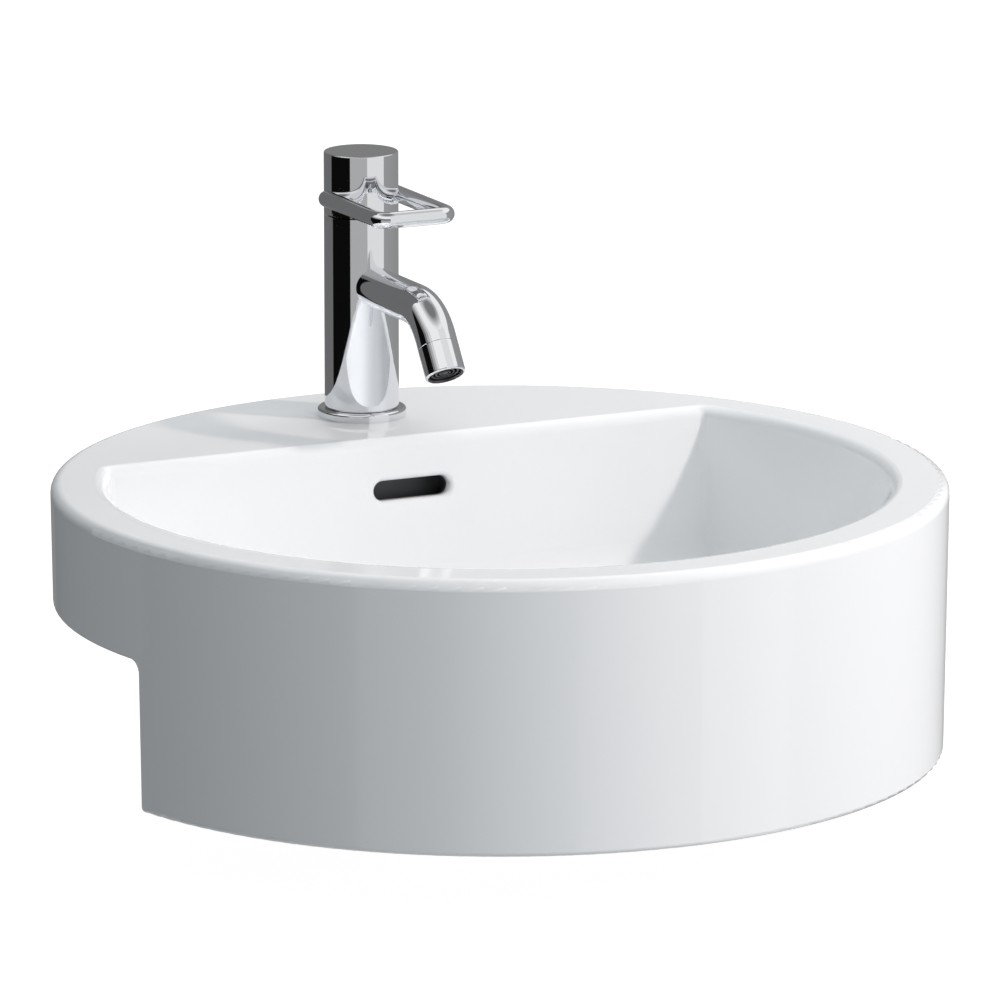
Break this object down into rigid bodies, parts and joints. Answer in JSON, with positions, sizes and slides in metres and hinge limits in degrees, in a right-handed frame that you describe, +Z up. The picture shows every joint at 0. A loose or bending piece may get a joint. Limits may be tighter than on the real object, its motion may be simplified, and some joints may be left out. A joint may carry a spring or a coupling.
{
  "type": "semi recessed basin",
  "caption": "Round semi-recessed wash basin with a rear tap ledge, overflow slot, single-lever bow-handle mixer tap and push-open waste.",
  "frame": {"origin": "centre of the waste tail's lower end, on the basin's vertical axis, at the height of the lowest point", "axes": "+Z up, -Y towards the user and the spout's mouth, +Y towards the wall and the tap ledge, +X to the user's right"},
  "size_m": [0.4598, 0.4598, 0.3166],
  "materials": {
    "china": "gloss",
    "chrome": "polished",
    "brass": "machined",
    "steel": "zinc plated",
    "stainless": "satin",
    "rubber_black": "matt",
    "plastic_black": "matt",
    "plastic_white": "matt",
    "plastic_grey": "matt",
    "disc_white": "lapped"
  },
  "bodies": {
    "basin": {"basin_body": "china", "waste_flange": "chrome", "flange_seal": "rubber_black", "waste_boss_seal": "rubber_black", "waste_slip_washer": "steel", "waste_back_nut": "brass", "push_cartridge": "plastic_grey", "plug_spring": "stainless", "tap_flange": "chrome", "flange_gasket": "rubber_black", "tap_body": "chrome", "spout": "chrome", "aerator_housing": "chrome", "aerator_insert": "plastic_black", "aerator_screen": "stainless", "aerator_washer": "rubber_black", "cartridge_case": "plastic_grey", "port_seals": "rubber_black", "fixed_disc": "disc_white", "glide_ring": "plastic_white", "ring_nut": "brass", "fixing_stud": "steel", "horseshoe_gasket": "rubber_black", "horseshoe_plate": "steel", "stud_nut": "steel"},
    "plug": {"waste_plug": "chrome", "plug_stem": "brass", "plug_seal": "rubber_black"},
    "turret": {"turret": "brass", "hinge_pin": "stainless"},
    "handle": {"lever": "stainless", "head_cap": "chrome", "handle_bow": "chrome", "bow_screws": "stainless", "head_screw": "stainless", "screw_cover": "chrome"},
    "mixer_slide": {"moving_disc": "disc_white", "disc_carrier": "plastic_white"}
  },
  "joints": [
    {"name": "handle_swivel", "type": "hinge", "parent": "basin", "child": "turret", "pos_m": [0, 0.1684, 0.2795], "axis": [0, 0, 1], "range_deg": [-50, 50]},
    {"name": "handle_lift", "type": "hinge", "parent": "turret", "child": "handle", "pos_m": [0, 0.177, 0.287], "axis": [-1, 0, 0], "range_deg": [0, 20]},
    {"name": "disc_slide", "type": "slide", "parent": "turret", "child": "mixer_slide", "axis": [0, -1, 0], "range_m": [0, 0.0038]},
    {"name": "plug_travel", "type": "slide", "parent": "basin", "child": "plug", "axis": [0, 0, 1], "range_m": [0, 0.007], "deforming": ["plug_spring"]}
  ],
  "couplings": [
    {"joint": "disc_slide", "follows": "handle_lift", "m_per_rad": 0.01082}
  ]
}
